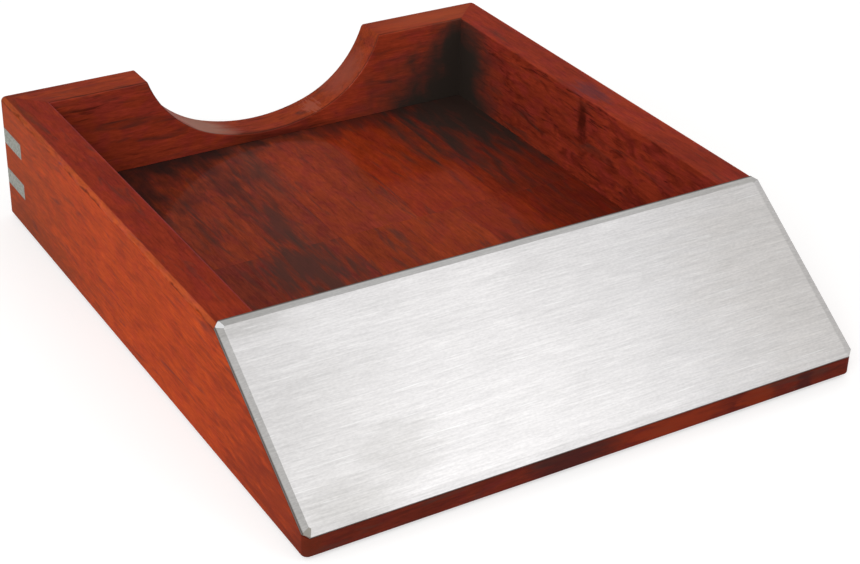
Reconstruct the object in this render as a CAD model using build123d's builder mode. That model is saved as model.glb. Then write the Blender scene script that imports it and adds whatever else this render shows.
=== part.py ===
"""Memo tray: a mitred hardwood frame with keyed rear corners, a sloped front and a metal face plate.

Millimetres. X runs across the tray, the front faces -Y, +Z is up, and the origin lies on the
table under the middle of the tray.
"""
import os
from itertools import cycle
from math import atan2, cos, hypot, sin, sqrt, tan

from build123d import *

# Overall size of the wooden frame
frame_width = 165.0
frame_depth = 195.0
frame_height = 38.5

# Boards
board = 11.5
front_board_thickness = 10.5
rim_length = 148.0
toe_height = 5.5
corner_radius = 1.8
rim_radius = 1.4
arris_radius = 0.5
base_radius = 0.8

# Finger cut-out in the back board: a wide bottom arc that runs into two tighter flanks
cutout_lip = 2.6
cutout_bottom_radius = 57.0
cutout_bottom_angle = 18.5
cutout_flank_radius = 34.5

# Floor panel, glued up from staves in two rows and held in grooves
floor_level = 11.0
floor_thickness = 5.0
groove_depth = 3.5
groove_play = 0.1
expansion_gap = 0.3
rear_row_length = 69.0
rear_stave_widths = (22.8, 20.3, 19.6, 26.6, 28.3)
front_stave_widths = (22.5, 20.3, 20.2, 19.7, 20.2, 19.7)
least_stave = 9.0

# Corner keys
key_thickness = 5.0
key_spacing = 13.2
key_rise = 0.6
key_to_groove = 0.35

# Dowels between the front board and the sides
dowel_radius = 2.5
dowel_length = 15.0
dowel_in_side = 7.0
dowel_glue_gap = 0.1
dowel_chamfer = 0.5
dowel_from_rim = 18.0
dowel_above_floor = 1.4

# Face plate and the film that holds it
plate_thickness = 1.0
plate_corner_cut = 1.6
bevel_width = 2.0
bevel_depth = 0.4
film_thickness = 0.2
film_inset = 4.0

# Felt feet
foot_radius = 4.0
foot_height = 1.0
foot_place = 14.0

# Levels and places worked out from the sizes above
half_width = frame_width / 2
inner_half = half_width - board
back_y = frame_depth / 2
front_y = -frame_depth / 2
inner_back_y = back_y - board
rim_front_y = back_y - rim_length
base_z = foot_height
rim_z = base_z + frame_height
toe_z = base_z + toe_height
floor_top = base_z + floor_level
floor_bottom = floor_top - floor_thickness

slope_rise = rim_z - toe_z
slope_run = rim_front_y - front_y
slope_angle = atan2(slope_rise, slope_run)
slope_length = hypot(slope_rise, slope_run)
plumb_thickness = front_board_thickness / cos(slope_angle)


def inner_slope_y(height):
    """Y of the front board's inner sloping face at a height."""
    return rim_front_y - (rim_z - plumb_thickness - height) / tan(slope_angle)


def on_slope(distance, depth):
    """Y and Z of a point down the slope from the rim, at a depth below its surface."""
    y = rim_front_y - distance * cos(slope_angle) + depth * sin(slope_angle)
    z = rim_z - distance * sin(slope_angle) - depth * cos(slope_angle)
    return y, z


floor_front_y = inner_slope_y(floor_bottom) - groove_depth + expansion_gap
floor_back_y = inner_back_y + groove_depth - expansion_gap
floor_half = inner_half + groove_depth - expansion_gap
row_joint_y = inner_back_y - rear_row_length
groove_front_y = floor_front_y - expansion_gap
groove_height = floor_thickness + groove_play

key_leg = 2 * (board - groove_depth) - key_to_groove * sqrt(2)
key_middle_z = base_z + frame_height / 2 + key_rise
key_levels = {"upper": key_middle_z + key_spacing / 2, "lower": key_middle_z - key_spacing / 2}

dowel_depth = front_board_thickness / 2
lower_dowel_z = floor_top + dowel_above_floor + dowel_radius
lower_dowel_drop = rim_z - lower_dowel_z - dowel_depth * cos(slope_angle)
dowel_places = {
    "upper": on_slope(dowel_from_rim, dowel_depth),
    "lower": on_slope(lower_dowel_drop / sin(slope_angle), dowel_depth),
}
dowel_in_front = dowel_length - dowel_in_side
dowel_hole = dowel_radius + dowel_glue_gap

sides = {"left": -1, "right": 1}


def mitre_plane(hand):
    """Upright plane of the mitre at a rear corner, facing the back board."""
    return Plane(origin=(hand * half_width, back_y, 0), x_dir=(0, 0, 1), z_dir=(-hand, 1, 0))


def slope_plane(height):
    """Plane parallel to the sloped front, at a height above the wood, centred on the slope."""
    y, z = on_slope(slope_length / 2, -height)
    return Plane(origin=(0, y, z), x_dir=(1, 0, 0), z_dir=(0, -sin(slope_angle), cos(slope_angle)))


def key_plan(hand):
    """Plan of a key at one rear corner, drawn into the sketch being built."""
    corner_x = hand * half_width
    Polygon(
        (corner_x, back_y),
        (corner_x, back_y - key_leg),
        (corner_x - hand * key_leg, back_y),
        align=None,
    )


def cut_key_slots():
    """Saws the key slots through both rear corners of the board being built."""
    for level in key_levels.values():
        with BuildSketch(Plane.XY.offset(level - key_thickness / 2)) as slots:
            for hand in sides.values():
                key_plan(hand)
        extrude(slots.sketch, amount=key_thickness, mode=Mode.SUBTRACT)


def cut_floor_groove():
    """Cuts the groove for the floor panel into the board being built."""
    groove_length = inner_back_y + groove_depth - groove_front_y
    groove_width = 2 * (inner_half + groove_depth)
    with BuildSketch(Plane.XY.offset(floor_bottom)) as groove:
        with Locations((0, groove_front_y)):
            Rectangle(groove_width, groove_length, align=(Align.CENTER, Align.MIN))
    extrude(groove.sketch, amount=groove_height, mode=Mode.SUBTRACT)


def ease(edges, radius):
    """Rounds edges of the board being built, never by more than a third of the board."""
    fillet(edges, min(radius, board / 3))


pieces = []


def keep(builder, name):
    """Names a finished piece and puts it on the list to write."""
    builder.part.label = name
    pieces.append(builder.part)


# Left side: rectangular board with its front end sawn down to the toe, mitred at the rear
with BuildPart() as left_side:
    with BuildSketch(Plane.YZ.offset(-half_width)):
        with BuildLine():
            Polyline(
                (front_y, base_z),
                (front_y, toe_z),
                (rim_front_y, rim_z),
                (back_y, rim_z),
                (back_y, base_z),
                close=True,
            )
        make_face()
    extrude(amount=board)
    ease(left_side.edges().filter_by(Axis.Z).group_by(Axis.X)[0], corner_radius)
    ease(left_side.edges().filter_by(Axis.Y).group_by(Axis.Z)[-1].sort_by(Axis.X)[0], rim_radius)
    ease(left_side.edges().filter_by(Axis.Y).group_by(Axis.Z)[-1].sort_by(Axis.X)[-1], arris_radius)
    ease(left_side.faces().sort_by(Axis.Z)[0].edges(), base_radius)
    split(bisect_by=mitre_plane(sides["left"]), keep=Keep.BOTTOM)
    cut_floor_groove()
    cut_key_slots()
    for place in dowel_places.values():
        with BuildSketch(Plane.YZ.offset(-inner_half)):
            with Locations(place):
                Circle(dowel_hole)
        extrude(amount=-dowel_in_side - expansion_gap, mode=Mode.SUBTRACT)
keep(left_side, "left_side")

# Right side: the left one's mirror image
with BuildPart() as right_side:
    mirror(left_side.part, about=Plane.YZ)
keep(right_side, "right_side")

# Back board: mitred at both ends, with the finger cut-out down almost to the floor
with BuildPart() as back_board:
    with BuildSketch(Plane.XZ.offset(-back_y)):
        with Locations((0, base_z)):
            Rectangle(frame_width, frame_height, align=(Align.CENTER, Align.MIN))
        with BuildLine():
            bottom_arc = JernArc(
                start=(0, floor_top + cutout_lip),
                tangent=(1, 0),
                radius=cutout_bottom_radius,
                arc_size=cutout_bottom_angle,
            )
            flank_arc = JernArc(
                start=bottom_arc @ 1,
                tangent=bottom_arc % 1,
                radius=cutout_flank_radius,
                arc_size=90 - cutout_bottom_angle,
            )
            cutout_side = (flank_arc @ 1).X
            cutout_top = rim_z + cutout_bottom_radius
            Polyline(flank_arc @ 1, (cutout_side, cutout_top), (0, cutout_top))
            mirror(about=Plane.YZ)
        make_face(mode=Mode.SUBTRACT)
    extrude(amount=board)
    ease(back_board.edges().filter_by(Axis.Z).group_by(Axis.Y)[-1], corner_radius)
    ease(back_board.edges().filter_by(Axis.X).group_by(Axis.Z)[-1].group_by(Axis.Y)[-1], rim_radius)
    ease(back_board.edges().filter_by(Axis.X).group_by(Axis.Z)[-1].group_by(Axis.Y)[0], arris_radius)
    ease(back_board.edges().filter_by(Axis.X).group_by(Axis.Z)[0], base_radius)
    cutout_arcs = back_board.faces().filter_by(Axis.Y).edges().filter_by(GeomType.CIRCLE)
    top_arrises = back_board.edges().filter_by(Axis.Y).group_by(Axis.Z)[-1]
    cutout_ends = top_arrises.sort_by(lambda edge: abs(edge.center().X))[:2]
    ease(cutout_arcs + cutout_ends, arris_radius)
    for hand in sides.values():
        split(bisect_by=mitre_plane(hand), keep=Keep.TOP)
    cut_floor_groove()
    cut_key_slots()
keep(back_board, "back_board")

# Front board: laid back between the sides, with its top cut plumb under the rim
with BuildPart() as front_board:
    with BuildSketch(Plane.YZ.offset(-inner_half)):
        with BuildLine():
            Polyline(
                (front_y, base_z),
                (front_y, toe_z),
                (rim_front_y, rim_z),
                (rim_front_y, rim_z - plumb_thickness),
                (inner_slope_y(base_z), base_z),
                close=True,
            )
        make_face()
    extrude(amount=2 * inner_half)
    ease(front_board.edges().filter_by(Axis.X).group_by(Axis.Z)[0].sort_by(Axis.Y)[0], base_radius)
    cut_floor_groove()
    for hand in sides.values():
        for place in dowel_places.values():
            with BuildSketch(Plane.YZ.offset(hand * inner_half)):
                with Locations(place):
                    Circle(dowel_hole)
            extrude(amount=-hand * (dowel_in_front + expansion_gap), mode=Mode.SUBTRACT)
keep(front_board, "front_board")


def stave_edges(widths):
    """X of a row's edges and joints, laid from the left until what is left is the last stave."""
    edges = [-floor_half]
    for width in cycle(widths):
        if edges[-1] + width > floor_half - least_stave:
            break
        edges.append(edges[-1] + width)
    return [*edges, floor_half]


# Floor panel: two rows of staves, butted end to end and glued edge to edge
rows = {
    "rear": (row_joint_y, floor_back_y, stave_edges(rear_stave_widths)),
    "front": (floor_front_y, row_joint_y, stave_edges(front_stave_widths)),
}
for row, (near_y, far_y, edges) in rows.items():
    for number, (left_x, right_x) in enumerate(zip(edges, edges[1:]), start=1):
        with BuildPart() as stave:
            with BuildSketch(Plane.XY.offset(floor_bottom)):
                with Locations(((left_x + right_x) / 2, (near_y + far_y) / 2)):
                    Rectangle(right_x - left_x, far_y - near_y)
            extrude(amount=floor_thickness)
        keep(stave, f"floor_stave_{row}_{number}")

# Corner keys: triangles of bar let into the mitres and dressed flush with both faces
for side, hand in sides.items():
    for level, middle_z in key_levels.items():
        with BuildPart() as key:
            with BuildSketch(Plane.XY.offset(middle_z - key_thickness / 2)):
                key_plan(hand)
            extrude(amount=key_thickness)
            outward = Axis((0, 0, 0), (hand, 1, 0))
            ease(key.edges().filter_by(Axis.Z).sort_by(outward)[-1], corner_radius)
        keep(key, f"key_{side}_{level}")

# Dowels: hidden pins that carry the front board between the sides
for side, hand in sides.items():
    for level, place in dowel_places.items():
        with BuildPart() as dowel:
            with BuildSketch(Plane.YZ.offset(hand * (inner_half + dowel_in_side))):
                with Locations(place):
                    Circle(dowel_radius)
            extrude(amount=-hand * dowel_length)
            chamfer(dowel.edges().filter_by(GeomType.CIRCLE), dowel_chamfer)
        keep(dowel, f"dowel_{side}_{level}")

# Plate film: thin double-sided sheet between the slope and the plate
with BuildPart() as plate_film:
    with BuildSketch(slope_plane(0)):
        Rectangle(frame_width - 2 * film_inset, slope_length - 2 * film_inset)
    extrude(amount=film_thickness)
keep(plate_film, "plate_film")

# Face plate: sheet with clipped corners and a shallow bevel all round, over the whole slope
with BuildPart() as front_plate:
    with BuildSketch(slope_plane(film_thickness)) as plate_outline:
        Rectangle(frame_width, slope_length)
        chamfer(plate_outline.vertices(), plate_corner_cut)
    extrude(amount=plate_thickness)
    plate_face = front_plate.faces().filter_by(slope_plane(0)).sort_by(Axis.Z)[-1]
    chamfer(plate_face.edges(), bevel_width, bevel_depth, reference=plate_face)
keep(front_plate, "front_plate")

# Feet: felt discs under the side boards
for end, foot_y in {"front": front_y + foot_place, "rear": back_y - foot_place}.items():
    for side, hand in sides.items():
        with BuildPart() as foot:
            with BuildSketch():
                with Locations((hand * (half_width - board / 2), foot_y)):
                    Circle(foot_radius)
            extrude(amount=foot_height)
        keep(foot, f"foot_{end}_{side}")

os.makedirs("parts", exist_ok=True)
for piece in pieces:
    export_step(piece, f"parts/{piece.label}.step")
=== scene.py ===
"""Memo tray: a lacquered hardwood tray with aluminium corner keys and a sloped, brushed face plate."""
import math

import bpy
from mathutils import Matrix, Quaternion, Vector

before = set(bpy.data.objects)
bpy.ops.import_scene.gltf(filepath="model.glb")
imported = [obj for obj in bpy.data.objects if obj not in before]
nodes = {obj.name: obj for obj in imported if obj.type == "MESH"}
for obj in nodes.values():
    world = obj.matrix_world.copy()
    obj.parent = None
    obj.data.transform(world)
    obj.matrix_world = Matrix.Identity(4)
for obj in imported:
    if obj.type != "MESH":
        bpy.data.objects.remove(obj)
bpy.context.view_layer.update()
mm = 0.001


# Floor: staves of hardwood, glued edge to edge in two rows, planed, stained red-brown and lacquered.
# Each stave took the stain in its own way, so the joints show as soft steps of tone. Charcoal
# heartwood runs along some staves, and painted shade darkens the corners and the feet of the walls.
def linear(colour):
    """Linear RGBA of an sRGB hex colour."""
    channels = [int(colour[i:i + 2], 16) / 255 for i in (1, 3, 5)]
    channels = [c / 12.92 if c < 0.04045 else ((c + 0.055) / 1.055) ** 2.4 for c in channels]
    return (*channels, 1)


def grey(value):
    """Linear RGBA of a grey that darkens or lightens what it is multiplied with."""
    return (value, value, value, 1)


def add(tree, kind, inputs=None, output=None, stops=None, **settings):
    """Adds a node with its settings, values, links and two ramp stops, and returns one output."""
    node = tree.nodes.new(kind)
    for name, value in settings.items():
        setattr(node, name, value)
    sockets = {socket.identifier: socket for socket in node.inputs}
    for name, value in (inputs or {}).items():
        if isinstance(value, bpy.types.NodeSocket):
            tree.links.new(value, sockets[name])
        else:
            sockets[name].default_value = value
    if stops:
        for point, (position, colour) in zip(node.color_ramp.elements, stops):
            point.position = position
            point.color = colour
    outputs = {socket.identifier: socket for socket in node.outputs}
    return outputs[output] if output else node.outputs[0]


blend = {"output": "Result_Color", "data_type": "RGBA"}
multiply = {"output": "Result_Color", "data_type": "RGBA", "blend_type": "MULTIPLY"}


def new_material(name):
    """A new material with its node tree and its Principled shader."""
    material = bpy.data.materials.new(name)
    material.use_nodes = True
    return material, material.node_tree, material.node_tree.nodes["Principled BSDF"]


def dress(node_name, material):
    """Gives a CAD node its material."""
    slots = nodes[node_name].data.materials
    slots.clear()
    slots.append(material)


def streaks(tree, length, width, grain, seed, detail=2.0, warp=0.4):
    """Noise drawn out along X or Y, in streaks of a length and a width in mm, placed by a seed."""
    along = 1 / (length * mm)
    across = 1 / (width * mm)
    scale = (along, across, across) if grain == "X" else (across, along, across)
    place = add(tree, "ShaderNodeTexCoord", output="Object")
    drawn = add(tree, "ShaderNodeMapping", {
        "Vector": place, "Scale": scale, "Location": (seed, seed, seed),
    })
    return add(tree, "ShaderNodeTexNoise", {
        "Vector": drawn, "Scale": 1.0, "Detail": detail, "Distortion": warp,
    })


def off_line(tree, value, line):
    """How far a value is from a line, to either side."""
    offset = add(tree, "ShaderNodeMath", {"Value": value, "Value_001": line}, operation="SUBTRACT")
    return add(tree, "ShaderNodeMath", {"Value": offset}, operation="ABSOLUTE")


def stained_wood(tree, grain, stain, seed, contrast, dashes, heartwood):
    """Colour of hardwood under its stain, which is a colour or a socket, with its grain along X or Y."""
    colour = stain
    # Bands, ripples, fibres and flecks, each with a length, a width, its detail and its two tones.
    # Real fibres are 0.02 mm wide: the finest here are 0.4 mm wide, so that they show.
    for length, width, detail, low, high in (
        (34, 8, 2, 1 - contrast, 1 + contrast),
        (10, 4, 3, 0.88, 1.06),
        (12, 0.8, 3, 0.88, 1.08),
        (2.5, 0.4, 1, 0.90, 1.09),
    ):
        seed += 1.7
        noise = streaks(tree, length, width, grain, seed, detail)
        tones = add(tree, "ShaderNodeValToRGB", {"Fac": noise},
                    stops=[(0.35, grey(low)), (0.65, grey(high))])
        colour = add(tree, "ShaderNodeMix", {"Factor_Float": 1.0, "A_Color": colour, "B_Color": tones},
                     **multiply)
    # Clouds of painted lilac sheen: less red and green there, and more blue.
    lilac = (0.91, 0.84, 1.3, 1)
    clouds = add(tree, "ShaderNodeMapRange", {
        "Value": streaks(tree, 8, 4, grain, seed + 2), "From Min": 0.45, "From Max": 0.62, "To Max": 0.9,
    })
    colour = add(tree, "ShaderNodeMix", {"Factor_Float": clouds, "A_Color": colour, "B_Color": lilac},
                 **multiply)
    # Dark dashes of pores, in clusters. Real pores are 0.2 mm wide: these are 1.1 mm, so that they show.
    clusters = add(tree, "ShaderNodeMapRange", {
        "Value": streaks(tree, 22, 9, grain, seed + 3),
        "From Min": 0.35,
        "From Max": 0.6,
        "To Max": dashes,
    })
    pores = add(tree, "ShaderNodeMapRange", {
        "Value": streaks(tree, 8, 1.1, grain, seed + 4, detail=4.0, warp=0.7),
        "From Min": 0.46,
        "From Max": 0.3,
    })
    pores = add(tree, "ShaderNodeMath", {"Value": pores, "Value_001": clusters}, operation="MULTIPLY")
    colour = add(tree, "ShaderNodeMix", {
        "Factor_Float": pores, "A_Color": colour, "B_Color": linear("#34140F"),
    }, **blend)
    # Charcoal heartwood in long streaks, which cover more of the wood where there is more of it.
    hearts = add(tree, "ShaderNodeMapRange", {
        "Value": streaks(tree, 20, 3, grain, seed + 6, detail=3.0, warp=0.8),
        "From Min": 0.6 - 0.2 * heartwood,
        "From Max": 0.8 - 0.2 * heartwood,
        "To Max": 0.75,
    })
    return add(tree, "ShaderNodeMix", {
        "Factor_Float": hearts, "A_Color": colour, "B_Color": linear("#4A2E27"),
    }, **blend)


def patch(tree, colour, middle, reach, strength, shade, grain="Y", ragged=(7, 1.5, 1.6)):
    """Stains an oval place in another shade, its edge ragged in streaks along the grain, in mm."""
    length, width, amount = ragged
    place = add(tree, "ShaderNodeTexCoord", output="Object")
    offset = add(tree, "ShaderNodeVectorMath", {"Vector": place, "Vector_001": Vector(middle) * mm},
                 operation="SUBTRACT")
    share = add(tree, "ShaderNodeVectorMath", {"Vector": offset, "Vector_001": Vector(reach) * mm},
                operation="DIVIDE")
    distance = add(tree, "ShaderNodeVectorMath", {"Vector": share}, output="Value", operation="LENGTH")
    edge = add(tree, "ShaderNodeMath", {
        "Value": streaks(tree, length, width, grain, seed=middle[1], detail=3.0),
        "Value_001": amount,
        "Value_002": distance,
    }, operation="MULTIPLY_ADD")
    # The streaks average a half, so the patch starts just past its reach and is full at a quarter of it.
    mask = add(tree, "ShaderNodeMapRange", {
        "Value": edge,
        "From Min": 1.05 + amount / 2,
        "From Max": 0.25 + amount / 2,
        "To Max": strength,
    }, interpolation_type="SMOOTHSTEP")
    return add(tree, "ShaderNodeMix", {
        "Factor_Float": mask, "A_Color": colour, "B_Color": linear(shade),
    }, **blend)


def lacquer(tree, shader, colour):
    """Sprays stained wood with semi-gloss lacquer, which gives it a soft sheen as warm as the stain."""
    tree.links.new(colour, shader.inputs["Base Color"])
    # A share of metal, and no plain reflection under the coat, give the sheen the stain's own colour.
    shader.inputs["Metallic"].default_value = 0.24
    shader.inputs["Roughness"].default_value = 0.27
    shader.inputs["IOR"].default_value = 1.5
    shader.inputs["Specular IOR Level"].default_value = 0.0
    shader.inputs["Specular Tint"].default_value = linear("#D89078")
    shader.inputs["Coat Weight"].default_value = 0.1
    shader.inputs["Coat Roughness"].default_value = 0.12


# The stain and the share of heartwood of each stave, from left to right.
staves = {
    "rear": (
        ("#76351D", 0.3), ("#87371E", 0.4), ("#803520", 0.6),
        ("#8C381E", 0.1), ("#8C3217", 0.05), ("#7E2D19", 0.2),
    ),
    "front": (
        ("#76301E", 0.3), ("#76301E", 0.4), ("#783220", 0.6), ("#853519", 0.2),
        ("#8C371A", 0.1), ("#853017", 0.1), ("#7C2A16", 0.3),
    ),
}
row_seeds = {"rear": 0, "front": 50}
floor_top = 12
glue_width = 0.5
# Dark places on the floor: the middle and reach across and along the tray, the strength and shade,
# and the length, width and amount of the streaks in the edge.
floor_patches = (
    # Painted shade: the black of the rear right corner.
    ((66, 80), (39, 62), 0.97, "#362C27", (20, 4, 1.8)),
    # Painted shadow of the back board over the rear left, and painted shade along the left side's foot.
    ((-71, 92), (80, 60), 0.5, "#33201C", (9, 4, 1.8)),
    ((-32, 91), (58, 18), 0.88, "#2A2220", (8, 6, 1.3)),
    ((-55, 68), (12, 24), 0.8, "#2A2220", (12, 3, 1.2)),
    # A dark streak along the grain.
    ((-26, 64), (4, 26), 0.45, "#33201C", (16, 2, 1.6)),
    # Painted shade along the back board's foot.
    ((28, 90), (46, 15), 0.7, "#33221E", (12, 4, 1.4)),
    # Charcoal streaks and darker blotches of the wood.
    ((-23, 31), (5, 24), 0.75, "#46302A", (16, 2, 1.8)),
    ((-12, 66), (6, 26), 0.45, "#56382F", (16, 2, 1.8)),
    ((-28, 3), (13, 23), 0.8, "#46302A", (14, 1.8, 2.6)),
    ((4, 10), (2, 8), 0.6, "#46302A", (7, 1.5, 1.2)),
    # Painted shade along the right side's foot.
    ((60, 12), (16, 42), 0.28, "#35211B", (14, 2, 2.4)),
    # A dark streak along the grain.
    ((40, -28), (14, 34), 0.4, "#35211B", (18, 2.5, 1.6)),
)
floor_patch_height = 10
for row, stains in staves.items():
    for i, (stain, heartwood) in enumerate(stains, 1):
        name = f"floor_stave_{row}_{i}"
        material, tree, shader = new_material("stained_" + name)
        seed = 7.3 * i + row_seeds[row]
        colour = stained_wood(tree, "Y", linear(stain), seed, contrast=0.07, dashes=0.3,
                              heartwood=heartwood)
        corners = [Vector(corner) / mm for corner in nodes[name].bound_box]
        low = Vector(min(corner[k] for corner in corners) for k in range(3))
        high = Vector(max(corner[k] for corner in corners) for k in range(3))
        place = add(tree, "ShaderNodeTexCoord", output="Generated")
        across = add(tree, "ShaderNodeSeparateXYZ", {"Vector": place}, output="X")
        dark_line = add(tree, "ShaderNodeMapRange", {
            "Value": off_line(tree, across, 0.5),
            "From Min": 0.5 - glue_width / (high.x - low.x),
            "From Max": 0.5,
            "To Max": 0.12,
        })
        colour = add(tree, "ShaderNodeMix", {
            "Factor_Float": dark_line, "A_Color": colour, "B_Color": linear("#2A120D"),
        }, **blend)
        for (x, y), (reach_x, reach_y), strength, shade, ragged in floor_patches:
            if low.x - reach_x < x < high.x + reach_x and low.y - reach_y < y < high.y + reach_y:
                middle = (x, y, floor_top)
                reach = (reach_x, reach_y, floor_patch_height)
                colour = patch(tree, colour, middle, reach, strength, shade, "Y", ragged)
        lacquer(tree, shader, colour)
        dress(name, material)


# Front board: a low hardwood board between the sides, under the plate, of which only the toe shows.
# It is stained a deeper red than the rest, with paler and nearly black lengths. The stain runs on
# over the sides' sawn ends, so that the toe reads as one strip.
half_depth = 97.5
toe_middle = 3.5
# Each length of another shade: its middle along X, its reach, its strength and its shade.
toe_patches = (
    (24, 24, 0.6, "#8A3014"),
    (50, 8, 0.5, "#883010"),
    (-8, 16, 0.75, "#3A1C1A"),
    (66.5, 3.5, 0.6, "#2C1418"),
)


def toe_wood(tree):
    """Colour of the toe, the same on the front board and on the sides' ends."""
    stain = linear("#642214")
    colour = stained_wood(tree, "X", stain, seed=4.0, contrast=0.12, dashes=0.5, heartwood=0.3)
    for x, reach_x, strength, shade in toe_patches:
        colour = patch(tree, colour, (x, -half_depth, toe_middle), (reach_x, 2, 6), strength, shade, "X")
    return colour


material, tree, shader = new_material("stained_front_board")
lacquer(tree, shader, toe_wood(tree))
dress("front_board", material)

# Sides: hardwood boards, mitred at the rear and sawn to the slope at the front. Painted light and shade
# tone each face by the way it is turned, so that the outer faces glow orange and the rims are darker.
# The inner faces are mottled. The outer arris was rubbed paler in sanding and has a painted highlight on
# its rounding, down to a broken dark line, and the left inner arris has a painted lilac glint.
half_width = 82.5
rim_top = 39.5
board_thickness = 11.5
# How far in from the outer face the rim's own stain starts and the inner arris lies, and how far
# forward the front board's stain starts.
rim_stain_start = 1.1
inner_arris = 11.15
toe_stain_start = 96.1


def side_wood(tree, hand, outer, rim, seed, glint_strength):
    """Colour of the left (-1) or right (1) side, from the painted lit tones of its outer face and rim,
    and where its inner face is.
    """
    place = add(tree, "ShaderNodeTexCoord", output="Object")
    x = add(tree, "ShaderNodeSeparateXYZ", {"Vector": place}, output="X")
    y = add(tree, "ShaderNodeSeparateXYZ", {"Vector": place}, output="Y")
    z = add(tree, "ShaderNodeSeparateXYZ", {"Vector": place}, output="Z")
    from_face = add(tree, "ShaderNodeMath", {
        "Value": x, "Value_001": -hand, "Value_002": half_width * mm,
    }, operation="MULTIPLY_ADD")
    # Painted light and shade: three tones of the one wood for the outer face, the rim and the inner
    # face.
    on_rim = add(tree, "ShaderNodeMapRange", {
        "Value": from_face, "From Min": rim_stain_start * mm, "From Max": (rim_stain_start + 0.3) * mm,
    })
    stain = add(tree, "ShaderNodeMix", {
        "Factor_Float": on_rim, "A_Color": linear(outer), "B_Color": linear(rim),
    }, **blend)
    inside = add(tree, "ShaderNodeMapRange", {
        "Value": from_face, "From Min": (board_thickness - 0.2) * mm, "From Max": board_thickness * mm,
    })
    stain = add(tree, "ShaderNodeMix", {
        "Factor_Float": inside, "A_Color": stain, "B_Color": linear("#963822"),
    }, **blend)
    dashes = add(tree, "ShaderNodeMapRange", {"Value": inside, "To Min": 0.3, "To Max": 0.75})
    colour = stained_wood(tree, "Y", stain, seed, contrast=0.07, dashes=dashes, heartwood=0.1)
    # Mottles on the inner face, where the stain soaked in unevenly.
    mottles = add(tree, "ShaderNodeMapRange", {
        "Value": streaks(tree, 9, 3, "Y", seed + 40, detail=4.0, warp=0.8),
        "From Min": 0.5,
        "From Max": 0.66,
        "To Max": 0.6,
    })
    mottles = add(tree, "ShaderNodeMath", {"Value": mottles, "Value_001": inside}, operation="MULTIPLY")
    colour = add(tree, "ShaderNodeMix", {
        "Factor_Float": mottles, "A_Color": colour, "B_Color": linear("#5A1C12"),
    }, **blend)
    # The paler strip along the top of the outer face, about 1 mm wide, with more green and blue in it:
    # wear rubbed through the stain, with a painted highlight of the rounded arris.
    below_rim = add(tree, "ShaderNodeMath", {"Value": rim_top * mm, "Value_001": z},
                    operation="SUBTRACT")
    wear_and_highlight_to = add(tree, "ShaderNodeMath", {
        "Value": streaks(tree, 8, 3, "Y", seed + 20), "Value_001": 2.0 * mm,
    }, operation="MULTIPLY")
    below_wear_and_highlight = add(tree, "ShaderNodeMath", {"Value": below_rim, "Value_001": wear_and_highlight_to},
                       operation="SUBTRACT")
    on_face = add(tree, "ShaderNodeMath", {"Value": 1.0, "Value_001": on_rim}, operation="SUBTRACT")
    wear_and_highlight = add(tree, "ShaderNodeMapRange", {
        "Value": below_wear_and_highlight, "From Min": 0.1 * mm, "From Max": -0.1 * mm,
    })
    wear_and_highlight = add(tree, "ShaderNodeMath", {"Value": wear_and_highlight, "Value_001": on_face}, operation="MULTIPLY")
    paler = (1.03, 1.3, 4.0, 1)
    colour = add(tree, "ShaderNodeMix", {"Factor_Float": wear_and_highlight, "A_Color": colour, "B_Color": paler},
                 **multiply)
    # The broken dark line under it.
    slit = add(tree, "ShaderNodeMapRange", {
        "Value": off_line(tree, below_wear_and_highlight, 0.0), "From Min": 0.4 * mm, "From Max": 0.1 * mm,
    })
    broken = add(tree, "ShaderNodeMapRange", {
        "Value": streaks(tree, 8, 9, "Y", seed + 30), "From Min": 0.42, "From Max": 0.6, "To Max": 0.75,
    })
    slit = add(tree, "ShaderNodeMath", {"Value": slit, "Value_001": broken}, operation="MULTIPLY")
    slit = add(tree, "ShaderNodeMath", {"Value": slit, "Value_001": on_face}, operation="MULTIPLY")
    colour = add(tree, "ShaderNodeMix", {
        "Factor_Float": slit, "A_Color": colour, "B_Color": linear("#4A1A0C"),
    }, **blend)
    # A painted lilac glint on the inner arris.
    glint = add(tree, "ShaderNodeMapRange", {
        "Value": off_line(tree, from_face, inner_arris * mm),
        "From Min": 0.35 * mm,
        "From Max": 0.1 * mm,
        "To Max": glint_strength,
    })
    colour = add(tree, "ShaderNodeMix", {
        "Factor_Float": glint, "A_Color": colour, "B_Color": linear("#94485A"),
    }, **blend)
    # The front board's stain on the sawn end.
    toe = add(tree, "ShaderNodeMapRange", {
        "Value": y, "From Min": (0.2 - toe_stain_start) * mm, "From Max": (-0.2 - toe_stain_start) * mm,
    })
    colour = add(tree, "ShaderNodeMix", {
        "Factor_Float": toe, "A_Color": colour, "B_Color": toe_wood(tree),
    }, **blend)
    return colour, inside


material, tree, shader = new_material("stained_left_side")
colour, _ = side_wood(tree, -1, "#AF4511", "#882F18", seed=1.0, glint_strength=0.22)
# Darker towards both ends, and painted shade along the foot.
for y, z, reach, strength, shade in (
    (110, 20, (6, 85, 70), 0.35, "#5F3818"),
    (75, 1, (6, 70, 12), 0.45, "#6A3418"),
    (-half_depth, 0, (6, 55, 50), 0.65, "#6F2812"),
    (-half_depth, 3, (6, 12, 9), 0.5, "#4A1C10"),
):
    colour = patch(tree, colour, (-half_width, y, z), reach, strength, shade)
lacquer(tree, shader, colour)
dress("left_side", material)

inner_side = half_width - board_thickness
inner_back = half_depth - board_thickness
# The painted shade of the rear right corner, shared by the right side and the back board.
painted_corner_shade = "#38312C"
material, tree, shader = new_material("stained_right_side")
colour, inside = side_wood(tree, 1, "#AB4310", "#8E341D", seed=2.0, glint_strength=0.0)
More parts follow.
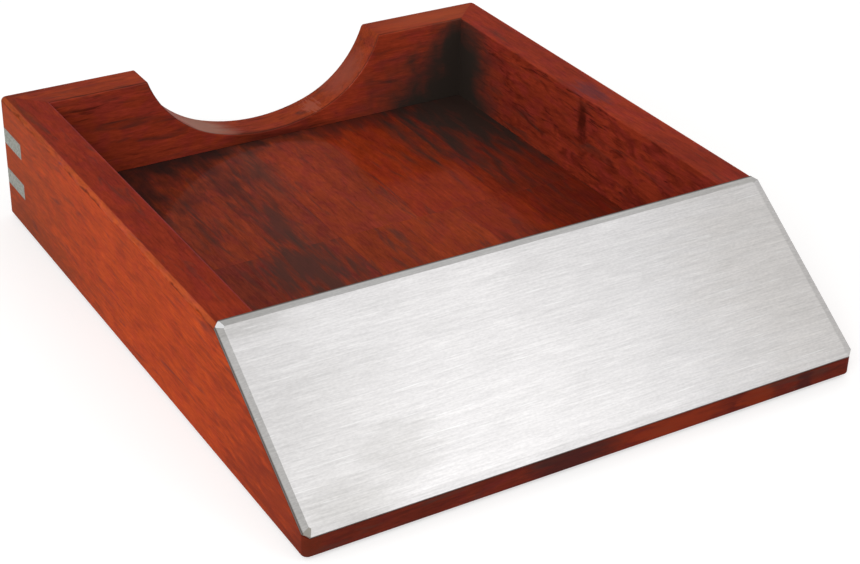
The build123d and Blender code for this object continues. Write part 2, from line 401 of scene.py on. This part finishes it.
# A dark mark on the inner face, two darker places on the rim, and painted black shade in the rear
# corner.
for middle, reach, strength, shade, ragged in (
    ((inner_side, 15.5, 31), (3, 3.2, 9), 0.8, "#3A130C", (3, 3, 1.0)),
    ((75.5, 18, rim_top), (5, 11, 3), 0.6, "#54323A", (7, 1.5, 1.6)),
    ((77, -34, rim_top), (8, 26, 3), 0.3, "#6A2216", (7, 1.5, 1.6)),
    ((inner_side, inner_back, 18), (27, 27, 40), inside, painted_corner_shade, (14, 6, 0.8)),
):
    colour = patch(tree, colour, middle, reach, strength, shade, "Y", ragged)
lacquer(tree, shader, colour)
dress("right_side", material)

# Back board: hardwood, mitred at both ends and scooped out for the fingers, its grain across the tray
# and its pores short and dark. Painted light makes its inner face redder than the rims, and painted
# shade makes it black in the right corner. The scoop has a painted lilac sheen, and painted shade lies
# dark along the inner arris.
material, tree, shader = new_material("stained_back_board")
place = add(tree, "ShaderNodeTexCoord", output="Object")
y = add(tree, "ShaderNodeSeparateXYZ", {"Vector": place}, output="Y")
inside = add(tree, "ShaderNodeMapRange", {
    "Value": y, "From Min": (inner_back + 0.3) * mm, "From Max": (inner_back + 0.1) * mm,
})
# Painted light: the inner face in a redder tone of the same wood.
stain = add(tree, "ShaderNodeMix", {
    "Factor_Float": inside, "A_Color": linear("#8E391D"), "B_Color": linear("#9E3D25"),
}, **blend)
colour = stained_wood(tree, "X", stain, seed=3.0, contrast=0.08, dashes=0.6, heartwood=0.1)
# Painted shade along the inner arris.
arris_shade = add(tree, "ShaderNodeMapRange", {
    "Value": off_line(tree, y, (inner_back + 0.3) * mm),
    "From Min": 0.28 * mm,
    "From Max": 0.18 * mm,
    "To Max": 0.55,
})
colour = add(tree, "ShaderNodeMix", {
    "Factor_Float": arris_shade, "A_Color": colour, "B_Color": linear("#30110C"),
}, **blend)
cut_face = add(tree, "ShaderNodeMapRange", {"Value": inside, "To Min": 0.62, "To Max": 0.0})
# Painted shade along the foot, a painted lilac sheen in the scoop on the left, painted short bright
# lines and a duller painted sheen on its right, the paler rim on the right, and the painted black shade
# of the corner, which spreads more along the foot.
for middle, reach, strength, shade, grain, ragged in (
    ((0, inner_back, 11.5), (34, 2, 6), 0.6, "#35180F", "X", (16, 1.5, 1.0)),
    ((-20, 91, 19), (17, 13, 6), cut_face, "#A08478", "X", (16, 3, 0.8)),
    ((17.5, 91, 18), (3.2, 8, 4), cut_face, "#9E5442", "Y", (4, 0.6, 3.0)),
    ((29, 93, 27), (12, 9, 12), cut_face, "#8E4A3C", "X", (12, 3, 0.8)),
    ((62, 92, rim_top), (26, 9, 3), 0.6, "#A04C2C", "X", (12, 3, 0.8)),
    ((inner_side, inner_back, 12), (44, 42, 27), inside, painted_corner_shade, "Y", (10, 7, 0.7)),
    ((inner_side, inner_back, 27), (17, 15, 24), inside, painted_corner_shade, "Y", (10, 7, 0.7)),
):
    colour = patch(tree, colour, middle, reach, strength, shade, grain, ragged)
lacquer(tree, shader, colour)
dress("back_board", material)

# Corner keys: triangles of aluminium bar, glued into saw cuts and sanded flush with the wood.
# Flush sanding leaves them dull and speckled, with a dark line of glue along their edges. The marks
# of the grit are finer than 0.1 mm: the speckle is 0.8 mm and the scratches 0.3 mm, so that they show.
key_middle = 20.85
key_spacing = 13.2
key_thickness = 5
glue_line = 0.35
material, tree, shader = new_material("sanded_aluminium")
colour = add(tree, "ShaderNodeValToRGB", {"Fac": streaks(tree, 0.8, 0.8, "X", 5.0)},
             stops=[(0.35, linear("#777870")), (0.65, linear("#9D9D96"))])
scratches = add(tree, "ShaderNodeValToRGB", {"Fac": streaks(tree, 4, 0.3, "Y", 6.0)},
                stops=[(0.3, grey(0.93)), (0.7, grey(1.07))])
colour = add(tree, "ShaderNodeMix", {"Factor_Float": 1.0, "A_Color": colour, "B_Color": scratches},
             **multiply)
place = add(tree, "ShaderNodeTexCoord", output="Object")
height = add(tree, "ShaderNodeSeparateXYZ", {"Vector": place}, output="Z")
off_middle = off_line(tree, height, key_middle * mm)
dark_line = add(tree, "ShaderNodeMapRange", {
    "Value": off_line(tree, off_middle, key_spacing / 2 * mm),
    "From Min": (key_thickness / 2 - glue_line) * mm,
    "From Max": key_thickness / 2 * mm,
    "To Max": 0.5,
})
colour = add(tree, "ShaderNodeMix", {
    "Factor_Float": dark_line, "A_Color": colour, "B_Color": linear("#3E3E34"),
}, **blend)
tree.links.new(colour, shader.inputs["Base Color"])
shader.inputs["Metallic"].default_value = 1.0
shader.inputs["Roughness"].default_value = 0.5
for name in nodes:
    if name.startswith("key_"):
        dress(name, material)

# Dowels: plain beech pins glued inside the joints, turned from straight-grained rod.
# Nothing shows of them from outside, so they keep the raw wood's pale flecked look.
material, tree, shader = new_material("beech")
colour = add(tree, "ShaderNodeValToRGB", {"Fac": streaks(tree, 5, 0.5, "X", 7.0)},
             stops=[(0.35, linear("#B98E62")), (0.65, linear("#D3AF84"))])
tree.links.new(colour, shader.inputs["Base Color"])
shader.inputs["Roughness"].default_value = 0.7
for name in nodes:
    if name.startswith("dowel_"):
        dress(name, material)

# Plate film: double-sided acrylic film, rolled down under the face plate to hold it on the slope.
# Its glue makes it faintly cloudy.
material, tree, shader = new_material("acrylic_film")
colour = add(tree, "ShaderNodeValToRGB", {"Fac": streaks(tree, 6, 6, "X", 8.0)},
             stops=[(0.3, linear("#C6C4BC")), (0.7, linear("#D6D4CD"))])
tree.links.new(colour, shader.inputs["Base Color"])
shader.inputs["Roughness"].default_value = 0.4
dress("plate_film", material)

# Face plate: aluminium sheet, brushed along its length and clear anodised, with milled bevels and
# clipped corners. The brushing spreads a lamp's reflection across the lines. Painted reflection and
# shade make the bevels at the top and left look greyer, and a painted shadow lies dark along the edges.
rim_front = 50.5
toe_top = 6.5
slope = math.atan2(rim_top - toe_top, half_depth - rim_front)
left = Vector((-1, 0, 0))
up_slope = Vector((0, math.cos(slope), math.sin(slope)))
top_edge = rim_top * math.sin(slope) - rim_front * math.cos(slope)
bottom_edge = half_depth * math.cos(slope) - toe_top * math.sin(slope)
# Greyer places: the middle and reach in mm, the strength and shade, and the edge's streaks.
plate_patches = (
    ((-76, -80, 20), (36, 40, 34), 0.2, "#A8A6A2", (30, 10, 0.8)),
    ((-50, -86, 15), (14, 12, 9), 0.25, "#A8A6A2", (14, 3, 1.2)),
    ((-70, -94, 8), (18, 11, 9), 0.35, "#A8A6A2", (14, 3, 1.0)),
    ((-80, -52, 38), (32, 6, 6), 0.35, "#A8A6A2", (14, 3, 1.0)),
    # Painted shade over the right, where the plate's reflection fades.
    ((84, -75, 22), (54, 60, 45), 0.17, "#B2A693", (14, 3, 0.6)),
)
material, tree, shader = new_material("brushed_aluminium")
colour = linear("#DAD8D8")
for middle, reach, strength, shade, ragged in plate_patches:
    colour = patch(tree, colour, middle, reach, strength, shade, "X", ragged)
# Brushed lines, with a longer scratch here and there. Real ones are finer than 0.1 mm: the finest
# here are 0.4 mm wide, so that they show.
for length, width, detail, low, high in (
    (18, 8, 2, 0.97, 1.03),
    (40, 1, 2, 0.97, 1.03),
    (9, 0.4, 2, 0.93, 1.07),
    (1, 0.4, 1, 0.95, 1.05),
):
    noise = streaks(tree, length, width, "X", 9.0 + length, detail, warp=0.0)
    lines = add(tree, "ShaderNodeValToRGB", {"Fac": noise}, stops=[(0.3, grey(low)), (0.7, grey(high))])
    colour = add(tree, "ShaderNodeMix", {"Factor_Float": 1.0, "A_Color": colour, "B_Color": lines},
                 **multiply)
scratches = add(tree, "ShaderNodeMapRange", {
    "Value": streaks(tree, 12, 0.4, "X", 11.0, warp=0.0),
    "From Min": 0.64,
    "From Max": 0.8,
    "To Max": 0.7,
})
colour = add(tree, "ShaderNodeMix", {"Factor_Float": scratches, "A_Color": colour, "B_Color": grey(0.9)},
             **blend)
# Painted reflection and shade on the bevels, found by the way they face, and on the two clipped corners
# on the left, where they meet: the top one bright and the bottom one grey.
normal = add(tree, "ShaderNodeTexCoord", output="Normal")
bevels = {}
for side, towards, tone in (
    ("left", left, "#EFEFED"), ("top", up_slope, "#EAEAE8"), ("bottom", -up_slope, "#FFFFFF"),
):
    facing = add(tree, "ShaderNodeVectorMath", {"Vector": normal, "Vector_001": towards},
                 output="Value", operation="DOT_PRODUCT")
    bevels[side] = add(tree, "ShaderNodeMapRange", {"Value": facing, "From Min": 0.08, "From Max": 0.12})
    colour = add(tree, "ShaderNodeMix", {
        "Factor_Float": bevels[side], "A_Color": colour, "B_Color": linear(tone),
    }, **multiply)
for end, tone in (("top", "#FAFAFA"), ("bottom", "#A8A49C")):
    clip = add(tree, "ShaderNodeMath", {"Value": bevels["left"], "Value_001": bevels[end]},
               operation="MULTIPLY")
    colour = add(tree, "ShaderNodeMix", {
        "Factor_Float": clip, "A_Color": colour, "B_Color": linear(tone),
    }, **blend)
# Painted shadow on the sheared edges, in a dark line of its own width along each side of the plate.
place = add(tree, "ShaderNodeTexCoord", output="Object")
dark_line = 0.0
for towards, edge, width in (
    (left, half_width, 0.45),
    (-left, half_width, 0.1),
    (up_slope, top_edge, 0.5),
    (-up_slope, bottom_edge, 0.1),
):
    reached = add(tree, "ShaderNodeVectorMath", {"Vector": place, "Vector_001": towards},
                  output="Value", operation="DOT_PRODUCT")
    edge_shadow = add(tree, "ShaderNodeMapRange", {
        "Value": reached,
        "From Min": (edge - width) * mm,
        "From Max": (edge - width / 3) * mm,
        "To Max": 0.9,
    })
    dark_line = add(tree, "ShaderNodeMath", {"Value": dark_line, "Value_001": edge_shadow}, operation="MAXIMUM")
colour = add(tree, "ShaderNodeMix", {
    "Factor_Float": dark_line, "A_Color": colour, "B_Color": linear("#3A2E25"),
}, **blend)
metal = add(tree, "ShaderNodeMath", {"Value": 1.0, "Value_001": dark_line}, operation="SUBTRACT")
across_brushing = add(tree, "ShaderNodeVectorTransform", {"Vector": up_slope},
                      vector_type="VECTOR", convert_from="OBJECT", convert_to="WORLD")
tree.links.new(colour, shader.inputs["Base Color"])
tree.links.new(metal, shader.inputs["Metallic"])
tree.links.new(across_brushing, shader.inputs["Tangent"])
shader.inputs["Specular IOR Level"].default_value = 0.1
shader.inputs["Roughness"].default_value = 0.34
shader.inputs["Anisotropic"].default_value = 0.6
dress("front_plate", material)

# Feet: discs of dark pressed felt glued under the sides, so that the tray doesn't mark the desk.
# The matted wool shows as a soft, matt speckle. Its fibres are 0.02 mm thick: the speckle is 0.6 mm
# across, so that it shows.
material, tree, shader = new_material("felt")
colour = add(tree, "ShaderNodeValToRGB", {"Fac": streaks(tree, 0.6, 0.6, "X", 12.0, detail=4.0)},
             stops=[(0.3, linear("#1E1814")), (0.7, linear("#3A2F28"))])
tree.links.new(colour, shader.inputs["Base Color"])
shader.inputs["Roughness"].default_value = 1.0
for name in nodes:
    if name.startswith("foot_"):
        dress(name, material)

# Studio: a pale floor in a soft, even room, with a lamp low on the left, one at the front left and a
# small one high at the front right, whose reflection lights the plate. The floor shows whiter to
# the camera, and in metal, than it lights the tray.
floor_reach = 4.0
floor_glow = 0.52
room_light = 0.71
lamp_distance = 1.2
material, tree, shader = new_material("pale_floor")
shown = add(tree, "ShaderNodeLightPath", output="Is Camera Ray")
for kind in ("Is Glossy Ray", "Is Transmission Ray"):
    ray = add(tree, "ShaderNodeLightPath", output=kind)
    shown = add(tree, "ShaderNodeMath", {"Value": shown, "Value_001": ray}, operation="ADD")
glow = add(tree, "ShaderNodeMath", {"Value": shown, "Value_001": floor_glow}, operation="MULTIPLY")
shader.inputs["Base Color"].default_value = linear("#C4C4C3")
shader.inputs["Roughness"].default_value = 0.9
shader.inputs["Specular IOR Level"].default_value = 0.0
shader.inputs["Emission Color"].default_value = (1, 1, 1, 1)
tree.links.new(glow, shader.inputs["Emission Strength"])
mesh = bpy.data.meshes.new("studio_floor")
floor_corners = [(x * floor_reach, y * floor_reach, 0) for x, y in ((-1, -1), (1, -1), (1, 1), (-1, 1))]
mesh.from_pydata(floor_corners, [], [(0, 1, 2, 3)])
mesh.materials.append(material)
studio_floor = bpy.data.objects.new("studio_floor", mesh)
bpy.context.scene.collection.objects.link(studio_floor)

world = bpy.data.worlds.new("studio")
bpy.context.scene.world = world
world.use_nodes = True
world.node_tree.nodes["Background"].inputs["Color"].default_value = (1, 1, 1, 1)
world.node_tree.nodes["Background"].inputs["Strength"].default_value = room_light


def softbox(name, azimuth, elevation, width, height, power):
    """A rectangular lamp that faces the tray from a direction given in degrees."""
    turn = math.radians(azimuth)
    lift = math.radians(elevation)
    towards = Vector((math.sin(turn) * math.cos(lift), -math.cos(turn) * math.cos(lift), math.sin(lift)))
    lamp = bpy.data.objects.new(name, bpy.data.lights.new(name, "AREA"))
    lamp.data.shape = "RECTANGLE"
    lamp.data.size = width
    lamp.data.size_y = height
    lamp.data.energy = power
    lamp.location = towards * lamp_distance
    lamp.rotation_mode = "QUATERNION"
    lamp.rotation_quaternion = towards.to_track_quat("Z", "Y")
    bpy.context.scene.collection.objects.link(lamp)


softbox("left_softbox", azimuth=-90, elevation=15, width=1.0, height=0.5, power=2.6)
softbox("front_left_softbox", azimuth=-42, elevation=35, width=0.7, height=0.6, power=6.2)
softbox("plate_softbox", azimuth=37, elevation=50, width=0.5, height=0.5, power=1.1)

# Camera: in front and to the left, looking down into the tray with a long lens from just over
# half a metre, and tipped a little to one side.
camera_azimuth = math.radians(-31.45)
camera_elevation = math.radians(29.95)
camera_tip = math.radians(1.5)
camera_distance = 545.1 * mm
camera_lens = 78.66
look_at = Vector((9.06 * mm, 0, 0.13 * mm))
away = Vector((
    math.sin(camera_azimuth) * math.cos(camera_elevation),
    -math.cos(camera_azimuth) * math.cos(camera_elevation),
    math.sin(camera_elevation),
))
camera = bpy.data.objects.new("camera", bpy.data.cameras.new("camera"))
camera.data.lens = camera_lens
camera.data.sensor_fit = "HORIZONTAL"
camera.data.sensor_width = 36
camera.data.clip_start = 10 * mm
camera.location = look_at + away * camera_distance
camera.rotation_mode = "QUATERNION"
camera.rotation_quaternion = away.to_track_quat("Z", "Y") @ Quaternion((0, 0, 1), camera_tip)
bpy.context.scene.collection.objects.link(camera)
bpy.context.scene.camera = camera
bpy.context.scene.view_settings.view_transform = "Standard"
